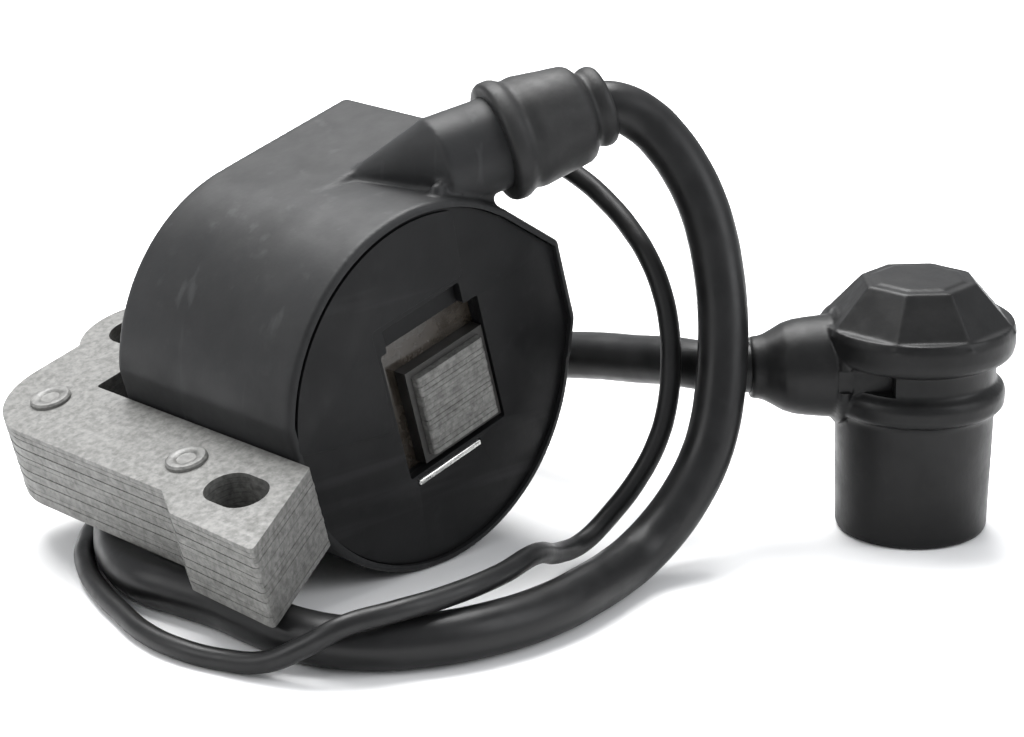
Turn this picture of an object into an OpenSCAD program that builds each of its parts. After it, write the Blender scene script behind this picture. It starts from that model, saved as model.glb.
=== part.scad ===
// Small-engine ignition coil: riveted lamination stack, moulded coil drum with an
// angled high-tension tower, plug lead with a rubber elbow cap, and a primary wire.
//
// Coil frame: X along the drum axis towards the flywheel, Z across the laminations,
// origin at the middle of the core leg's pole face. The finished object leans by
// "lean" about X, lies on z = 0, and has its origin below the middle of the coil.

/* [Lying position] */
// Lean of the coil about the drum axis as it lies on its drum (degrees)
lean = 15; // [14.5:0.1:15.5]

/* [Laminations] */
// Number of laminations in the stack
lam_count = 16; // [10:1:17]
// Thickness of one lamination
lam_t = 0.6; // [0.35:0.05:0.6]
// Varnish film between two laminations
lam_gap = 0.025; // [0.01:0.005:0.04]
// Width of the core leg and of the yoke
leg_w = 10.4; // [8:0.1:11]
// Length of the core leg from pole face to yoke
core_l = 35.5; // [34:0.5:42]
// Inner edge of the outer leg, measured from the core's middle
leg_in = 24; // [24:0.1:26]
// Outer edge of the outer leg, measured from the core's middle
leg_out = 35.2; // [33:0.1:36]
// Outer edge of the widened foot at the outer pole
foot_out = 38.2; // [37:0.1:38.5]
// How far the outer pole's tip stands in front of the core's pole face
tip_x = 9.4; // [6:0.1:12]
// How far the outer pole's inner corner stands in front of the core's pole face
heel_x = 2.7; // [1:0.1:5]
// Radius of the stack's rounded outer corner
corner_r = 10; // [6:0.5:11]
// Radius of the far mounting ear around its slot
ear_r = 7.3; // [6.5:0.1:8]

/* [Fixings] */
// Width of the mounting slots, clearance for an M5 screw
slot_w = 5.8; // [5.2:0.1:6.2]
// Length of the mounting slots, end to end
slot_l = 8.2; // [7:0.1:9]
// Radius of the rivet shanks
rivet_r = 1.9; // [1.5:0.1:2.1]
// Radius of the rivet heads
rivet_head_r = 2.45; // [2.3:0.05:2.8]
// Height of the rivet heads
rivet_head_h = 0.6; // [0.4:0.1:0.9]

/* [Drum] */
// Outer radius of the coil drum
drum_r = 21.6; // [21.6:0.1:26]
// Length of the drum
drum_l = 30.5; // [28:0.5:33]
// Wall thickness of the drum
wall = 2; // [1.5:0.1:2.1]
// Length of the flat-topped block at the back of the drum
block_l = 17; // [14:0.5:18]
// Thickness of the front cover
cover_t = 2; // [1.5:0.1:2.2]
// Width of the thin rim around the front cover
rim_w = 0.9; // [0.7:0.1:1.2]

/* [Windings] */
// Wall of the primary bobbin
bobbin_wall = 0.9; // [0.7:0.1:1]
// Outer radius of the primary bobbin's flanges
primary_r = 10.4; // [10.2:0.1:10.6]
// Outer radius of the secondary bobbin's tube
secondary_tube_r = 12; // [11.8:0.1:12.5]
// Outer radius of the secondary bobbin's flanges
secondary_r = 15; // [14:0.1:15.2]
// Number of winding chambers on the secondary bobbin
chambers = 5; // [3:1:7]

/* [High-tension tower] */
// Outer radius of the tower
tower_r = 5.4; // [5:0.1:5.6]
// Direction of the tower, turned from the drum axis (degrees)
tower_dir = 67.6; // [66:0.2:69]
// Radius of the rubber sleeve's flange
sleeve_flange_r = 7; // [6.8:0.1:7.6]
// Radius of the rubber sleeve towards its outer end
sleeve_end_r = 5.8; // [5.4:0.1:6]

/* [Leads] */
// Diameter of the high-tension lead
lead_d = 5.8; // [5:0.1:6]
// Diameter of the primary wire
wire_d = 2.4; // [1.8:0.1:2.4]

/* [Plug cap] */
// Radius of the cap's skirt at its mouth
skirt_r = 8.9; // [8.4:0.1:9.4]
// Radius of the socket for the spark plug's insulator
socket_r = 6; // [5:0.1:6.5]
// Depth of the socket
socket_l = 13; // [11:0.5:13]
// Height of the lead's entry above the mouth
neck_z = 20; // [20:0.1:21]
// Radius of the cap's mushroom head
head_r = 11.4; // [10.8:0.1:12]
// Height of the whole cap
cap_h = 30.5; // [29:0.5:33]

/* [Clearances] */
// Running clearance round the lead in the cap's neck
run_gap = 0.05; // [0.02:0.01:0.1]
// Clearance between pieces that are assembled together
fit_gap = 0.1; // [0.05:0.05:0.15]
// Clearance between the drum and the outer leg
leg_gap = 0.35; // [0.2:0.05:0.5]

/* [Hidden] */

$fn = 72;
slop = 0.01;

// Lamination stack
stack_h = lam_count * lam_t + (lam_count - 1) * lam_gap;
yoke_out = core_l + leg_w;
near_slot = [-1.5, -31.1];
far_slot = [-(core_l + 5.7), -13];
rivet_spots = [[-(core_l + 2.9), -28.6], [-11.7, -29.7]];

// Drum: its axis is off the core's middle
drum_y = drum_r - leg_in - 0.5;
drum_z = 2.6;
drum_flat = leg_gap - leg_in;
centre = [drum_y, drum_z];
block_top = [17.3, drum_z + drum_r];
block_back_x = -drum_l;
shoulder = [[12.5, 17.9], [19.5, 10.2], [19.6, 0], [17.9, -4]];
face_x = -0.5;
ledge_x = face_x - cover_t;
cavity_back_x = wall - drum_l;

// Windings, about the core's middle
coil_x0 = cavity_back_x + 1.6;
coil_x1 = ledge_x - 0.4;
tube_y = leg_w + 2 * fit_gap;
tube_z = stack_h + 2 * fit_gap;
collar_wall = 0.8;
back_flange_t = 1.2;
front_flange_t = 2.2;
wrap_r = primary_r + fit_gap;
wrap_t = 0.4;
flange_t = 0.8;
chamber_pitch = (coil_x1 - coil_x0 - flange_t) / chambers;

// Core wedge: a spring steel strip under the core
wedge_w = 9.8;
wedge_t = 0.65;
wedge_l = 1.9;
wedge_at = [-3.1, -(stack_h / 2 + 2.3)];

// Window, key step and raised pad in the cover
window = [[-9, -6.3], [6.2, 9.8]];
key_step = [[-8, 9.7], [4, 12.6]];
key_depth = 1.2;
pad_h = 0.5;

// High-tension tower: "t" runs along its axis from the sleeve's flange
tower_at = [-2.5, 17.1, drum_z + drum_r - 0.2];
tower_t0 = -9;
tower_t1 = 6.5;
lead_r = lead_d / 2;
tower_bore_t = -4;
terminal_t = 1;
sleeve_collar_t = -1.6;
sleeve_t1 = 12.1;
bead_r = 4.7;

// Primary wire's way out of the block
wire_r = wire_d / 2;
exit_at = [-18, 18.4, 17];
wire_in = 9;
grommet_r = 2.2;
grommet_out = 2.6;

// Links between the windings and the outside
link_r = 0.35;
winding_r = 14.4;
link_x = cavity_back_x + 0.8;
ht_link_start = [-6, 5.5, 13.6];
primary_link_path = [[link_x + 2.9, 6.5, 6.9], [link_x, 6.5, 6.9], [link_x, 9, 15.6],
                     [-19.5, 9, 17], [-18, 9.4, 17]];
earth_link_start = [link_x + 2.9, -2.5, 9.2];
earth_tab_at = [-(core_l + 3.4), -2.5, stack_h / 2];
earth_tab_size = [3.4, 4.4, 0.5];
earth_tab_lift = 1.6;

// Placement of the leaning coil: the drum rests on z = 0
tower_u = [cos(tower_dir), sin(tower_dir), 0];
function tower_point(t) = tower_at + t * tower_u;
function leaned(p) = [p.x, p.y * cos(lean) - p.z * sin(lean), p.y * sin(lean) + p.z * cos(lean)];
bead_centre = leaned(tower_point(sleeve_t1));
bead_n = leaned(tower_u);
y_high = bead_centre.y + bead_r * sqrt(1 - bead_n.y * bead_n.y);
y_low = leaned([0, -foot_out, stack_h / 2]).y;
x_low = far_slot.x - ear_r;
origin_shift = [-(x_low + tip_x) / 2, -(y_low + y_high) / 2,
                drum_r - leaned([0, drum_y, drum_z]).z];
function placed(p) = leaned(p) + origin_shift;

// Plug cap, standing on its mouth
cap_at = [49.5, 52.2];
neck_dir = 228.7;
neck_u = [cos(neck_dir), sin(neck_dir), 0];
neck_l = 19.5;
neck_tip_r = 3.6;
lead_end_x = 7;
chamber_r = 4.3;
chamber_top = 22.5;
head_z = 21.5;
head_edge_z = 25.4;
head_top_r = 6.6;
head_sides = 8;
bead_z = [15.4, 18.6];
collar_r = 9.3;
bead_out_r = 10.4;
skirt_draft = 0.35;
function cap_point(x, z) = [cap_at.x, cap_at.y, z] + x * neck_u;

// Plug spring
spring_wire_r = 0.45;
spring_r = 3.2;
spring_z = [socket_l + 0.8, 19];
spring_turns = 3;
spring_steps = 14;
spike_r = 0.6;

// Primary wire's eyelet
eyelet_dir = 55;
eyelet_u = [cos(eyelet_dir), sin(eyelet_dir), 0];
eyelet_at = [-7.5, 27, 2.2];
barrel_r = 1.6;
barrel_l = 5;
eyelet_r = 3.1;
eyelet_hole_r = 1.6;
eyelet_t = 0.8;
eyelet_reach = barrel_l + eyelet_r + 0.6;
end_sleeve_r = 2.15;
end_sleeve_l = 7;
wire_straight = 14;

// Routes: straight out of the tower or grommet, then points chosen by hand
lead_free = [
    [22.8, 30, 49.9], [24.9, 32.2, 48.3], [27.3, 33.2, 46.1], [29.8, 33.8, 43.2],
    [32.1, 34, 39.8], [33.9, 33.8, 36.4], [35.6, 33.2, 32.4], [37.1, 32.3, 28.2],
    [38.3, 31.1, 24], [39.2, 29.7, 19.8], [39.8, 28.1, 15.8], [40, 26.2, 12.4],
    [39.9, 23.6, 9.1], [39.5, 20.4, 6], [39.3, 16.4, 3.7], [40.2, 11.6, 3.05], [41.4, 6, 3],
    [42.1, 0, 2.95], [41.4, -8, 2.95], [38.6, -15.5, 2.95], [34, -21.2, 2.95], [28.2, -24, 2.95],
    [22, -24.5, 2.95], [15.5, -24.5, 2.95], [9.5, -25.3, 2.95], [4, -25.9, 2.95],
    [-2.5, -24.1, 2.95], [-8.5, -20.4, 3.2], [-14, -15.2, 4.8], [-18, -9, 5.4], [-20.8, -2, 4.5],
    [-22.4, 6, 3.2], [-22.2, 15, 3], [-18.8, 24, 4], [-12.6, 31, 7], [-4.5, 35, 11],
    [4, 36.3, 14], [12.2, 36.2, 16.1], [20.6, 35.8, 17.7], [26.6, 35.2, 19], [31.6, 35, 19.7]];
wire_free = [
    [4.5, 28, 42.7], [9.5, 30.8, 41.7], [14.4, 32.3, 39.6], [19.1, 32.6, 37.1],
    [22.8, 32.2, 34.9], [26.3, 31.5, 32.3], [29, 30.9, 28.9], [30.8, 30.2, 25.2], [32, 29.2, 21],
    [32.8, 27.8, 16.8], [32.8, 26.2, 12.9], [32.1, 23.6, 8.7], [31, 20.3, 5], [30.9, 16.2, 2.9],
    [32.6, 10.4, 3.6], [36.2, 3, 6.6], [38.7, -5, 7.2], [38.9, -13, 7.2], [37.8, -19.4, 7.1],
    [35.5, -24.1, 6.3], [32.6, -27.4, 4], [29.2, -29.6, 2], [24.5, -31.4, 1.27],
    [18.5, -33, 1.27], [12.5, -32.9, 1.27], [6.5, -31.4, 1.27], [0.5, -29.6, 1.27],
    [-5.6, -27, 1.27], [-12, -22.6, 1.27], [-16.9, -16.4, 1.2], [-17.2, -10, 1.2],
    [-15.6, -3, 1.27], [-15.6, 4, 1.27], [-16.4, 10, 1.5]];

lead_route = concat([placed(tower_point(tower_bore_t + terminal_t + 0.05)),
                     placed(tower_point(tower_t1)), placed(tower_point(sleeve_t1 - 1))],
                    lead_free,
                    [cap_point(neck_l + 1, neck_z), cap_point(neck_l - 4, neck_z),
                     cap_point(lead_end_x, neck_z)]);
wire_route = concat([placed(exit_at - [0, wire_in, 0]), placed(exit_at + [0, grommet_out + 1, 0])],
                    wire_free,
                    [eyelet_at - wire_straight * eyelet_u, eyelet_at - wire_straight / 2 * eyelet_u,
                     eyelet_at + (barrel_l - 1) * eyelet_u]);

// --- helpers -------------------------------------------------------------

module coil_frame() {
    translate(origin_shift) rotate([lean, 0, 0]) children();
}

// Extrudes a (Y, Z) outline along X from x0 to x1
module along_x(x0, x1) {
    translate([x0, 0, 0]) rotate([90, 0, 90]) linear_extrude(x1 - x0) children();
}

module tower_frame(t = 0) {
    translate(tower_point(t)) rotate([0, 0, tower_dir]) rotate([0, 90, 0]) children();
}

module cap_frame() {
    translate([cap_at.x, cap_at.y, 0]) rotate([0, 0, neck_dir]) children();
}

module span(low, high) {
    translate(low) square(high - low);
}

// Round link through a list of points, with a bead at each bend
module link_path(points, r) {
    for (i = [0:len(points) - 2]) rod(points[i], points[i + 1], r);
    for (i = [1:len(points) - 2]) translate(points[i]) sphere(r = 1.4 * r, $fn = 24);
}

// Round rod from p to q
module rod(p, q, r) {
    d = q - p;
    translate(p) rotate([0, acos(d.z / norm(d)), atan2(d.y, d.x)])
        cylinder(r = r, h = norm(d), $fn = 24);
}

// Direction of a route at each of its points
function heading(route, i) =
    let (d = route[min(i + 1, len(route) - 1)] - route[max(i - 1, 0)]) d / norm(d);

// Unit side vectors carried along a route without twist
function carried(side, h) = let (s = side - (side * h) * h) s / norm(s);
function sides_from(route, i, side) =
    i == len(route) ? []
    : let (s = carried(side, heading(route, i))) concat([s], sides_from(route, i + 1, s));

// Tube of radius r swept along a route as one closed polyhedron
module swept_tube(route, r, n) {
    first = cross(heading(route, 0), abs(heading(route, 0).z) < 0.9 ? [0, 0, 1] : [1, 0, 0]);
    side = sides_from(route, 0, first);
    rings = len(route);
    points = [for (i = [0:rings - 1])
                  let (s = side[i], u = cross(heading(route, i), s))
                  for (k = [0:n - 1])
                      route[i] + r * (cos(360 * k / n) * s + sin(360 * k / n) * u)];
    walls = [for (i = [0:rings - 2], k = [0:n - 1])
                 let (a = i * n + k, b = i * n + (k + 1) % n) [a, a + n, b + n, b]];
    ends = [[for (k = [0:n - 1]) k], [for (k = [n - 1:-1:0]) (rings - 1) * n + k]];
    polyhedron(points = points, faces = concat(walls, ends));
}

// --- lamination stack ----------------------------------------------------

module slot_outline(at) {
    run = (slot_l - slot_w) / 2;
    translate(at) {
        for (x = [-run, run]) translate([x, 0]) circle(d = slot_w);
        square([2 * run, slot_w], center = true);
    }
}

module lamination_outline() {
    difference() {
        union() {
            translate([-core_l - slop, -leg_w / 2]) square([core_l + slop, leg_w]);
            translate([-yoke_out, corner_r - leg_out])
                square([leg_w, leg_out - corner_r + leg_w / 2]);
            translate([corner_r - yoke_out, corner_r - leg_out]) circle(corner_r);
            polygon([[corner_r - yoke_out, -leg_out], [-9.4, -leg_out],
                     [-4.8, -foot_out + 0.4], [tip_x, -foot_out], [heel_x, -leg_in],
                     [corner_r - yoke_out, -leg_in]]);
            translate(far_slot) circle(ear_r);
        }
        translate([-core_l, -leg_in]) square([corner_r + 5, leg_in - leg_w / 2]);
        slot_outline(near_slot);
        slot_outline(far_slot);
        for (p = rivet_spots) translate(p) circle(rivet_r + 0.04);
    }
}

module lamination_stack() {
    color([0.72, 0.71, 0.68]) coil_frame()
        translate([0, 0, -stack_h / 2]) linear_extrude(stack_h) lamination_outline();
}

module rivet() {
    rotate_extrude() polygon([
        [0, -rivet_head_h], [rivet_head_r - 0.7, -rivet_head_h], [rivet_head_r, -0.25],
        [rivet_head_r, -0.02], [rivet_r, -0.02], [rivet_r, stack_h + 0.02],
        [rivet_head_r, stack_h + 0.02], [rivet_head_r, stack_h + 0.25],
        [rivet_head_r - 0.7, stack_h + rivet_head_h], [0, stack_h + rivet_head_h]]);
}

module core_rivets() {
    color([0.66, 0.65, 0.62]) coil_frame()
        for (p = rivet_spots) translate([p.x, p.y, -stack_h / 2]) rivet();
}

module wedge_outline(gap = 0) {
    translate(wedge_at) square([wedge_w + 2 * gap, wedge_t + 2 * gap], center = true);
}

module core_wedge() {
    color([0.8, 0.8, 0.8]) coil_frame() along_x(face_x - wedge_l, face_x + 0.15) wedge_outline();
}

// --- drum and cover ------------------------------------------------------

// A point of the drum's outline moved inwards by d
function inset(p, d) = centre + (p - centre) * (1 - d / norm(p - centre));

module drum_outline(d) {
    intersection() {
        union() {
            translate(centre) circle(drum_r - d, $fn = 120);
            polygon(concat([centre], [for (p = shoulder) inset(p, d)]));
        }
        translate([drum_flat + d, -50]) square([100, 100]);
    }
}

// Round cavity for the windings, with the same flat
module cavity_outline(d) {
    intersection() {
        translate(centre) circle(drum_r - wall - d);
        translate([drum_flat + wall + d, -50]) square([100, 100]);
    }
}

module block_outline(d) {
    drum_outline(d);
    polygon([centre, [drum_y, drum_z + drum_r - d],
             [block_top.x - d, block_top.y - d], inset(shoulder[1], d), inset(shoulder[2], d)]);
}

// The tower's root: a cone that rises out of the drum's top
module tower_root() {
    hull() {
        tower_frame(tower_t0) cylinder(r = tower_r - 0.05, h = 2, $fn = 40);
        translate([-14.6, 3.4, drum_z + drum_r - 3]) cylinder(r = 0.8, h = 2.2, $fn = 24);
        translate([-12.4, 13.6, drum_z + drum_r - 8]) cylinder(r = 1, h = 6.6, $fn = 24);
    }
}

// Web that carries the tower at the drum's front rim
module tower_web() {
    along_x(-7, -1.2)
        polygon([[1, 19], [12.6, 14], [12.6, 20.6], [8, 22.5], [1, 23.6]]);
}

module housing() {
    color([0.2, 0.2, 0.21]) coil_frame() difference() {
        union() {
            along_x(block_back_x, 0) drum_outline(0);
            along_x(block_back_x, block_l - drum_l) block_outline(0);
            tower_frame(tower_t0) cylinder(r = tower_r, h = tower_t1 - tower_t0);
            tower_root();
            tower_web();
        }
        along_x(cavity_back_x, ledge_x + slop) cavity_outline(0);
        along_x(ledge_x, 1) drum_outline(rim_w);
        translate([-drum_l - 1, 0, 0]) cube([2 * drum_l, tube_y + 0.4, tube_z + 0.4], center = true);
        tower_frame(tower_bore_t) cylinder(r = lead_r + run_gap, h = tower_t1 - tower_bore_t + 1);
        rod(ht_link_start, tower_point(tower_bore_t + slop), link_r + 0.35);
        translate(exit_at - [0, 3.1, 0]) rotate([-90, 0, 0]) cylinder(r = grommet_r, h = 8);
        translate(exit_at - [0, 12, 0]) rotate([-90, 0, 0]) cylinder(r = wire_r + 0.05, h = 12);
        rod(earth_link_start, earth_link_start - [10, 0, 0], link_r + 0.35);
    }
}

module cover_relief() {
    intersection() {
        drum_outline(rim_w + fit_gap + 1.2);
        polygon([[-30, 4.4], [-9.8, 0.6], [-9.8, 13.4], [4.4, 13.4], [4.8, 30], [-30, 30]]);
    }
}

module front_cover() {
    color([0.13, 0.13, 0.14]) coil_frame() difference() {
        union() {
            along_x(ledge_x, face_x) drum_outline(rim_w + fit_gap);
            along_x(face_x - slop, face_x + pad_h) cover_relief();
        }
        along_x(ledge_x - 1, 1) span(window[0], window[1]);
        along_x(face_x - key_depth, 1) span(key_step[0], key_step[1]);
        along_x(ledge_x - 1, 1) wedge_outline(fit_gap);
    }
}

// --- windings ------------------------------------------------------------

module core_tube_outline(grow) {
    square([tube_y + 2 * grow, tube_z + 2 * grow], center = true);
}

module primary_bobbin() {
    color([0.1, 0.1, 0.1]) coil_frame() difference() {
        union() {
            along_x(coil_x0, coil_x1) core_tube_outline(bobbin_wall);
            along_x(coil_x1 - slop, face_x - 0.4) core_tube_outline(collar_wall);
            along_x(coil_x0, coil_x0 + back_flange_t) circle(primary_r);
            along_x(coil_x1 - front_flange_t, coil_x1) circle(primary_r);
        }
        along_x(coil_x0 - 1, face_x + 1) core_tube_outline(0);
        rod(primary_link_path[0], primary_link_path[1], link_r + 0.2);
        rod(earth_link_start, earth_link_start - [6, 0, 0], link_r + 0.2);
    }
}

module primary_winding() {
    color([0.72, 0.4, 0.2]) coil_frame() difference() {
        along_x(coil_x0 + back_flange_t + fit_gap, coil_x1 - front_flange_t - fit_gap)
            difference() {
                circle(primary_r - 0.3);
                core_tube_outline(bobbin_wall + fit_gap);
            }
        rod(primary_link_path[0] + [0.1, 0, 0], primary_link_path[1], link_r + 0.1);
        rod(earth_link_start + [0.1, 0, 0], earth_link_start - [6, 0, 0], link_r + 0.1);
    }
}

module ring_outline(r_in, r_out) {
    difference() {
        circle(r_out);
        circle(r_in);
    }
}

module insulation_wrap() {
    color([0.85, 0.75, 0.5]) coil_frame()
        along_x(coil_x0, coil_x1) ring_outline(wrap_r, wrap_r + wrap_t);
}

module secondary_bobbin() {
    color([0.85, 0.82, 0.72]) coil_frame() {
        along_x(coil_x0, coil_x1) ring_outline(wrap_r + wrap_t + fit_gap, secondary_tube_r);
        for (i = [0:chambers])
            along_x(coil_x0 + i * chamber_pitch, coil_x0 + i * chamber_pitch + flange_t)
                ring_outline(wrap_r + wrap_t + fit_gap, secondary_r);
    }
}

module secondary_winding() {
    color([0.6, 0.3, 0.15]) coil_frame()
        for (i = [0:chambers - 1])
            along_x(coil_x0 + i * chamber_pitch + flange_t + 0.05,
                    coil_x0 + (i + 1) * chamber_pitch - 0.05)
                ring_outline(secondary_tube_r + 0.05, secondary_r - 0.6);
}

module potting_resin() {
    color([0.08, 0.07, 0.06]) coil_frame() difference() {
        along_x(cavity_back_x + 0.05, ledge_x - 0.05) cavity_outline(0.05);
        along_x(coil_x0 - 0.05, coil_x1 + 0.05) circle(secondary_r + 0.1);
        along_x(-drum_l, coil_x0) core_tube_outline(0.2);
        along_x(coil_x1, 0) core_tube_outline(collar_wall + 0.05);
        rod(ht_link_start, tower_point(tower_bore_t), link_r + 0.05);
        rod(earth_link_start, earth_link_start - [10, 0, 0], link_r + 0.05);
        link_path(primary_link_path, link_r + 0.05);
        translate(exit_at - [0, wire_in + 0.05, 0]) rotate([-90, 0, 0])
            cylinder(r = wire_r + 0.05, h = wire_in);
    }
}

// --- high-tension side ---------------------------------------------------

module ht_terminal() {
    color([0.8, 0.65, 0.3]) coil_frame() tower_frame(tower_bore_t)
        rotate_extrude() polygon([[0, 0], [lead_r, 0], [lead_r, terminal_t],
                                  [0.7, terminal_t], [0.7, terminal_t + 2.6],
                                  [0, terminal_t + 4.2]]);
}

module ht_link_wire() {
    color([0.7, 0.45, 0.25]) coil_frame() difference() {
        rod(ht_link_start, tower_point(tower_bore_t - 0.05), link_r);
        along_x(-drum_l, 0) circle(winding_r + 0.05);
        tower_frame(tower_bore_t - 0.02) cylinder(r = lead_r + 1, h = 3);
    }
}

module primary_link_wire() {
    color([0.7, 0.45, 0.25]) coil_frame() difference() {
        link_path(primary_link_path, link_r);
        translate(exit_at - [0, wire_in + 0.02, 0]) rotate([-90, 0, 0]) cylinder(r = 2, h = 4);
    }
}

module earth_link_wire() {
    color([0.7, 0.45, 0.25]) coil_frame()
        rod(earth_link_start, [earth_tab_at.x + earth_tab_size.x / 2 + 0.1, earth_link_start.y,
                               earth_link_start.z], link_r);
}

module earth_tab() {
    color([0.8, 0.68, 0.35]) coil_frame() translate(earth_tab_at + [0, 0, 0.02]) {
        translate([-earth_tab_size.x / 2, -earth_tab_size.y / 2, 0]) cube(earth_tab_size);
        translate([earth_tab_size.x / 2 - 0.5, -earth_tab_size.y / 2, 0])
            cube([0.5, earth_tab_size.y, earth_link_start.z - earth_tab_at.z + 1]);
    }
}

module tower_sleeve() {
    color([0.1, 0.1, 0.1]) coil_frame() tower_frame(sleeve_collar_t) difference() {
        l = sleeve_t1 - sleeve_collar_t;
        f = -sleeve_collar_t;
        rotate_extrude() polygon([
            [0, 0], [sleeve_flange_r - 0.5, 0], [sleeve_flange_r, 0.5], [sleeve_flange_r, f],
            [sleeve_flange_r - 0.5, f + 1.2], [sleeve_flange_r - 0.5, f + 2.6],
            [sleeve_end_r + 0.4, f + 5], [sleeve_end_r, f + 8.4], [sleeve_end_r - 0.5, f + 9.2],
            [bead_r - 0.2, f + 9.8], [bead_r - 0.2, f + 10.2], [bead_r, f + 10.6],
            [bead_r, l], [0, l]]);
        translate([0, 0, -1]) cylinder(r = tower_r + 0.05, h = tower_t1 - sleeve_collar_t + 1.05);
        cylinder(r = lead_r + 0.25, h = l + 1);
    }
}

module ht_lead() {
    color([0.06, 0.06, 0.06]) swept_tube(lead_route, lead_r, 10);
}

// --- primary wire --------------------------------------------------------

module wire_grommet() {
    color([0.12, 0.12, 0.12]) coil_frame() translate(exit_at) rotate([-90, 0, 0]) difference() {
        rotate_extrude() polygon([
            [0, -3], [grommet_r - 0.05, -3], [grommet_r - 0.05, 0.35], [grommet_r + 0.8, 0.6],
            [grommet_r + 0.8, 1.2], [wire_r + 0.7, grommet_out], [0, grommet_out]]);
        translate([0, 0, -4]) cylinder(r = wire_r + 0.03, h = 10);
    }
}

module primary_wire() {
    color([0.07, 0.07, 0.07]) swept_tube(wire_route, wire_r, 8);
}

module eyelet_frame() {
    translate(eyelet_at) rotate([0, 0, eyelet_dir]) children();
}

module wire_terminal() {
    color([0.8, 0.68, 0.35]) eyelet_frame() difference() {
        union() {
            rotate([0, 90, 0]) cylinder(r = barrel_r, h = barrel_l);
            translate([eyelet_reach, 0, -barrel_r]) cylinder(r = eyelet_r, h = eyelet_t);
            translate([barrel_l - 1.2, -barrel_r, -barrel_r])
                cube([eyelet_reach - barrel_l, 2 * barrel_r, eyelet_t]);
        }
        translate([-1, 0, 0]) rotate([0, 90, 0]) cylinder(r = wire_r + 0.03, h = barrel_l);
        translate([eyelet_reach, 0, -barrel_r - 1]) cylinder(r = eyelet_hole_r, h = eyelet_t + 2);
    }
}

module terminal_sleeve() {
    color([0.15, 0.15, 0.16]) eyelet_frame() translate([-end_sleeve_l + barrel_l - 1.6, 0, 0])
        rotate([0, 90, 0]) difference() {
            cylinder(r = end_sleeve_r, h = end_sleeve_l);
            translate([0, 0, -1]) cylinder(r = barrel_r + run_gap, h = end_sleeve_l + 2);
        }
}

// --- plug cap ------------------------------------------------------------

module cap_body() {
    rotate_extrude() polygon([
        [0, 0], [skirt_r - 0.6, 0], [skirt_r, 0.6], [skirt_r + skirt_draft, bead_z[0] - 0.5],
        [bead_out_r - 0.3, bead_z[0]], [bead_out_r, bead_z[0] + 0.5],
        [bead_out_r, bead_z[1] - 0.9], [bead_out_r - 0.5, bead_z[1] - 0.2],
        [collar_r, bead_z[1]], [collar_r, head_z], [0, head_z]]);
    translate([0, 0, head_z - 0.2]) cylinder(r = head_r - 0.9, h = 1.2, $fn = 72);
    translate([0, 0, head_z + 0.6]) cylinder(r = head_r, h = head_edge_z - head_z - 0.6, $fn = 72);
    rotate([0, 0, 180 / head_sides]) translate([0, 0, head_edge_z - slop])
        cylinder(r1 = head_r / cos(180 / head_sides) - 0.9, r2 = head_top_r,
                 h = cap_h - head_edge_z, $fn = head_sides);
}

module cap_neck() {
    translate([0, 0, neck_z]) rotate([0, 90, 0]) rotate_extrude() polygon([
        [0, 0], [6.1, 0], [6.1, 9.4], [5.85, 11.4], [5.7, 13.2], [5.5, 14.7], [4.9, 16.1],
        [4.1, 17.4], [neck_tip_r, neck_l - 0.7], [neck_tip_r - 0.2, neck_l], [0, neck_l]]);
}

module plug_cap() {
    color([0.08, 0.08, 0.08]) cap_frame() difference() {
        union() {
            cap_body();
            cap_neck();
        }
        for (side = [-1, 1]) translate([3.8, side * 9.1 - 3, bead_z[1] + 0.1])
            cube([8, 6, head_z - bead_z[1] - 0.3]);
        translate([0, 0, -1]) cylinder(r = socket_r, h = socket_l + 1);
        translate([0, 0, socket_l - 1]) cylinder(r = chamber_r, h = chamber_top - socket_l + 1);
        translate([lead_end_x - 0.6, 0, neck_z]) rotate([0, 90, 0])
            cylinder(r = lead_r + run_gap, h = neck_l);
        translate([0, 0, neck_z]) rotate([0, 90, 0]) cylinder(r = spike_r + 0.3, h = lead_end_x);
    }
}

spring_route = [for (i = [0:spring_turns * spring_steps])
    let (a = 360 * i / spring_steps, f = i / (spring_turns * spring_steps))
    [spring_r * cos(a), spring_r * sin(a),
     spring_z[0] + spring_wire_r + f * (spring_z[1] - spring_z[0] - 2 * spring_wire_r)]];

module plug_spring() {
    color([0.75, 0.75, 0.72]) cap_frame() swept_tube(spring_route, spring_wire_r, 6);
}

module plug_spike() {
    color([0.8, 0.68, 0.35]) cap_frame() {
        rod([-2.6, 0, neck_z], [lead_end_x - 0.3, 0, neck_z], spike_r);
        translate([-2.6, 0, neck_z]) sphere(r = 0.9, $fn = 32);
        translate([-2.6, 0, spring_z[1] + 0.05]) cylinder(r = 0.5, h = neck_z - spring_z[1], $fn = 24);
    }
}

lamination_stack();
core_rivets();
core_wedge();
housing();
front_cover();
primary_bobbin();
primary_winding();
insulation_wrap();
secondary_bobbin();
secondary_winding();
potting_resin();
ht_terminal();
ht_link_wire();
primary_link_wire();
earth_link_wire();
earth_tab();
tower_sleeve();
ht_lead();
wire_grommet();
primary_wire();
wire_terminal();
terminal_sleeve();
plug_cap();
plug_spring();
plug_spike();
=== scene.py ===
"""Small-engine ignition coil: finished look of every piece, its stage and its camera."""
import math

import bmesh
import bpy
from mathutils import Matrix, Vector


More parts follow.
